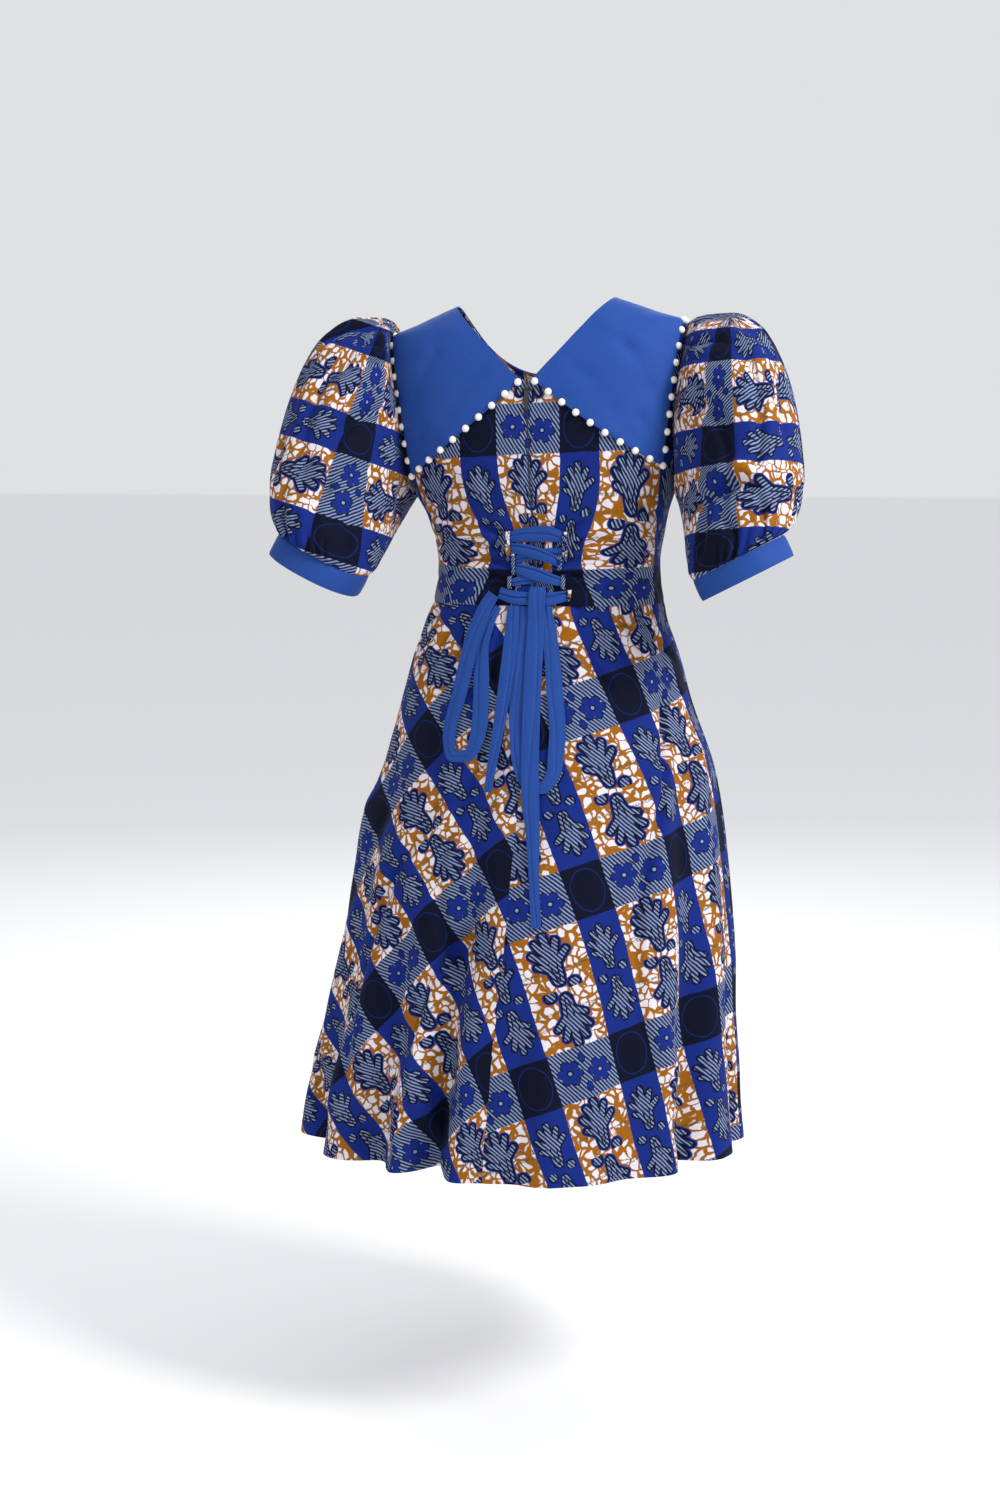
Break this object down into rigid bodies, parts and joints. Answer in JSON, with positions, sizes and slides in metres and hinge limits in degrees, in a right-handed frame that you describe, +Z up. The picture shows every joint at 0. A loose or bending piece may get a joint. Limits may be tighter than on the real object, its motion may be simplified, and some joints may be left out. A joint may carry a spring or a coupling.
{
  "type": "dress",
  "caption": "Worn midi dress of printed cotton with a deep V back, wide beaded collar, puff sleeves, back zip, laced and tied waist and a flared skirt.",
  "frame": {"origin": "middle of the shoulder line at the neck points, where the wearer's shoulders hold the dress", "axes": "+Z up the body, -Y the front of the dress, +Y the back of the dress with the zip, +X the wearer's left"},
  "size_m": [0.6706, 0.5169, 1.0808],
  "materials": {
    "print_cotton": "matte wax-printed cotton",
    "plain_cotton": "plain matte cotton",
    "zip_tape": "woven tape with closed teeth",
    "zip_metal": "grey-green lacquered metal"
  },
  "bodies": {
    "dress": {"bodice_front": "print_cotton", "bodice_back_left": "print_cotton", "bodice_back_right": "print_cotton", "skirt_front": "print_cotton", "skirt_back_left": "print_cotton", "skirt_back_right": "print_cotton", "sleeve_left": "print_cotton", "sleeve_right": "print_cotton", "cuff_left": "plain_cotton", "cuff_right": "plain_cotton", "collar_left": "plain_cotton", "collar_right": "plain_cotton", "lace_loop_left_1": "print_cotton", "lace_loop_left_2": "print_cotton", "lace_loop_left_3": "print_cotton", "lace_loop_right_1": "print_cotton", "lace_loop_right_2": "print_cotton", "lace_loop_right_3": "print_cotton", "lace_loop_right_4": "print_cotton", "tie_knot": "plain_cotton", "tie_bow_left": "plain_cotton", "tie_bow_right": "plain_cotton", "tie_tail_left": "plain_cotton", "tie_tail_long": "plain_cotton", "tie_lace_top": "plain_cotton", "tie_lace_upper_over": "plain_cotton", "tie_lace_upper_under": "plain_cotton", "tie_lace_lower_over": "plain_cotton", "tie_lace_lower_under": "plain_cotton", "zip_tape": "zip_tape", "zip_slider": "zip_metal"},
    "zip_pull": {"zip_pull": "zip_metal"}
  },
  "joints": [
    {"name": "zip_pull_hinge", "type": "hinge", "parent": "dress", "child": "zip_pull", "pos_m": [0.00966, 0.08213, -0.1061], "axis": [1, 0, 0], "range_deg": [0, 150]}
  ]
}
